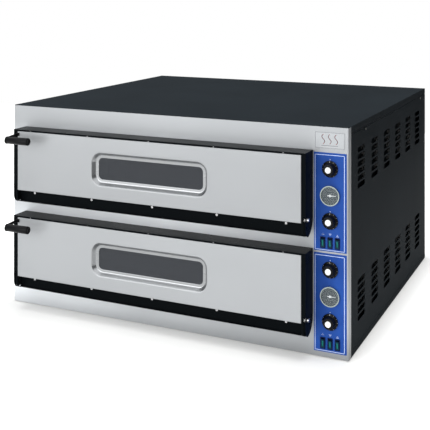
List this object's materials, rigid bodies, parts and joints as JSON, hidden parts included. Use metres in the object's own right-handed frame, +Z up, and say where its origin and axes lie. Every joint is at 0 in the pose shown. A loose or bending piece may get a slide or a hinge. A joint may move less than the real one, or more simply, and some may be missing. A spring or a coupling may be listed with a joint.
{
  "type": "twin-deck electric pizza oven",
  "caption": "Twin-deck electric countertop pizza oven with bottom-hinged glazed doors, stone-floored chambers, thermostat knobs, dial thermometers and rocker switches.",
  "frame": {"origin": "centre of the whole footprint, door handles included, on the counter", "axes": "+X to the right seen from the front, +Y from the doors towards the rear panel, +Z up"},
  "size_m": [1.344, 1.3454, 0.762],
  "materials": {
    "brushed_stainless": "brushed along the width",
    "charcoal_powder_coat": "fine satin powder coat",
    "black_rubber": "matt",
    "badge_metal": "satin, printed outline",
    "bright_fixings": "polished",
    "dull_zinc": "dull zinc plate",
    "switch_black": "moulded",
    "mineral_wool": "fibrous",
    "chamber_steel": "mill finish, heat tinted",
    "baking_stone": "matt refractory stone",
    "element_sheath": "oxidised steel sheath",
    "lamp_glass": "frosted",
    "panel_blue": "satin printed overlay with a pale border",
    "dial_chrome": "polished bezel, grey dial face",
    "dial_glass": "clear",
    "needle_white": "matt white",
    "door_black": "semi-gloss black enamel",
    "window_glass": "tinted heat-proof glass",
    "rope_seal": "braided glass fibre",
    "handle_black": "heat-proof moulding",
    "knob_black": "moulded, white ticks and cap",
    "rocker_green": "translucent green lens"
  },
  "bodies": {
    "cabinet": {"front_fascia": "brushed_stainless", "left_side_panel": "charcoal_powder_coat", "right_side_panel": "charcoal_powder_coat", "top_panel": "charcoal_powder_coat", "back_panel": "charcoal_powder_coat", "base_tray": "charcoal_powder_coat", "rubber_feet": "black_rubber", "control_bay_wall": "brushed_stainless", "badge_plate": "badge_metal", "cabinet_screws": "dull_zinc", "terminal_block": "switch_black", "insulation_blankets": "mineral_wool", "upper_chamber": "chamber_steel", "upper_baking_stones": "baking_stone", "upper_heating_elements": "element_sheath", "lower_chamber": "chamber_steel", "lower_baking_stones": "baking_stone", "lower_heating_elements": "element_sheath", "chamber_lamps": "lamp_glass", "hinge_arms": "bright_fixings", "hinge_bolts": "bright_fixings", "upper_control_panel": "panel_blue", "upper_thermometer": "dial_chrome", "upper_thermometer_lens": "dial_glass", "lower_control_panel": "panel_blue", "lower_thermometer": "dial_chrome", "lower_thermometer_lens": "dial_glass", "thermostats": "chamber_steel", "switch_housings": "switch_black"},
    "upper_door": {"upper_door_frame": "door_black", "upper_door_skin": "brushed_stainless", "upper_window_glass": "window_glass", "upper_door_inner_pan": "chamber_steel", "upper_door_insulation": "mineral_wool", "upper_door_gasket": "rope_seal", "upper_handle_arm": "handle_black", "upper_handle_grip": "handle_black", "upper_door_screws": "bright_fixings"},
    "lower_door": {"lower_door_frame": "door_black", "lower_door_skin": "brushed_stainless", "lower_window_glass": "window_glass", "lower_door_inner_pan": "chamber_steel", "lower_door_insulation": "mineral_wool", "lower_door_gasket": "rope_seal", "lower_handle_arm": "handle_black", "lower_handle_grip": "handle_black", "lower_door_screws": "bright_fixings"},
    "upper_top_heat_knob": {"upper_top_heat_knob": "knob_black"},
    "upper_floor_heat_knob": {"upper_floor_heat_knob": "knob_black"},
    "lower_top_heat_knob": {"lower_top_heat_knob": "knob_black"},
    "lower_floor_heat_knob": {"lower_floor_heat_knob": "knob_black"},
    "upper_left_rocker": {"upper_left_rocker": "rocker_green"},
    "upper_middle_rocker": {"upper_middle_rocker": "rocker_green"},
    "upper_right_rocker": {"upper_right_rocker": "rocker_green"},
    "lower_left_rocker": {"lower_left_rocker": "rocker_green"},
    "lower_middle_rocker": {"lower_middle_rocker": "rocker_green"},
    "lower_right_rocker": {"lower_right_rocker": "rocker_green"},
    "upper_thermometer_needle": {"upper_thermometer_needle": "needle_white"},
    "lower_thermometer_needle": {"lower_thermometer_needle": "needle_white"}
  },
  "joints": [
    {"name": "upper_door_hinge", "type": "hinge", "parent": "cabinet", "child": "upper_door", "pos_m": [-0.0335, -0.58725, 0.463], "axis": [1, 0, 0], "range_deg": [0, 90]},
    {"name": "lower_door_hinge", "type": "hinge", "parent": "cabinet", "child": "lower_door", "pos_m": [-0.0335, -0.58725, 0.138], "axis": [1, 0, 0], "range_deg": [0, 90]},
    {"name": "upper_top_heat_knob_turn", "type": "hinge", "parent": "cabinet", "child": "upper_top_heat_knob", "pos_m": [0.607, -0.52925, 0.623], "axis": [0, 1, 0], "range_deg": [0, 300]},
    {"name": "upper_floor_heat_knob_turn", "type": "hinge", "parent": "cabinet", "child": "upper_floor_heat_knob", "pos_m": [0.607, -0.52925, 0.452], "axis": [0, 1, 0], "range_deg": [0, 300]},
    {"name": "lower_top_heat_knob_turn", "type": "hinge", "parent": "cabinet", "child": "lower_top_heat_knob", "pos_m": [0.607, -0.52925, 0.292], "axis": [0, 1, 0], "range_deg": [0, 300]},
    {"name": "lower_floor_heat_knob_turn", "type": "hinge", "parent": "cabinet", "child": "lower_floor_heat_knob", "pos_m": [0.607, -0.52925, 0.121], "axis": [0, 1, 0], "range_deg": [0, 300]},
    {"name": "upper_left_rocker_press", "type": "hinge", "parent": "cabinet", "child": "upper_left_rocker", "pos_m": [0.582, -0.52425, 0.38], "axis": [1, 0, 0], "range_deg": [-14, 0]},
    {"name": "upper_middle_rocker_press", "type": "hinge", "parent": "cabinet", "child": "upper_middle_rocker", "pos_m": [0.607, -0.52425, 0.38], "axis": [1, 0, 0], "range_deg": [-14, 0]},
    {"name": "upper_right_rocker_press", "type": "hinge", "parent": "cabinet", "child": "upper_right_rocker", "pos_m": [0.632, -0.52425, 0.38], "axis": [1, 0, 0], "range_deg": [-14, 0]},
    {"name": "lower_left_rocker_press", "type": "hinge", "parent": "cabinet", "child": "lower_left_rocker", "pos_m": [0.582, -0.52425, 0.049], "axis": [1, 0, 0], "range_deg": [-14, 0]},
    {"name": "lower_middle_rocker_press", "type": "hinge", "parent": "cabinet", "child": "lower_middle_rocker", "pos_m": [0.607, -0.52425, 0.049], "axis": [1, 0, 0], "range_deg": [-14, 0]},
    {"name": "lower_right_rocker_press", "type": "hinge", "parent": "cabinet", "child": "lower_right_rocker", "pos_m": [0.632, -0.52425, 0.049], "axis": [1, 0, 0], "range_deg": [-14, 0]},
    {"name": "upper_thermometer_needle_swing", "type": "hinge", "parent": "cabinet", "child": "upper_thermometer_needle", "pos_m": [0.607, -0.53115, 0.5355], "axis": [0, 1, 0], "range_deg": [-225, 45]},
    {"name": "lower_thermometer_needle_swing", "type": "hinge", "parent": "cabinet", "child": "lower_thermometer_needle", "pos_m": [0.607, -0.53115, 0.2045], "axis": [0, 1, 0], "range_deg": [-225, 45]}
  ]
}
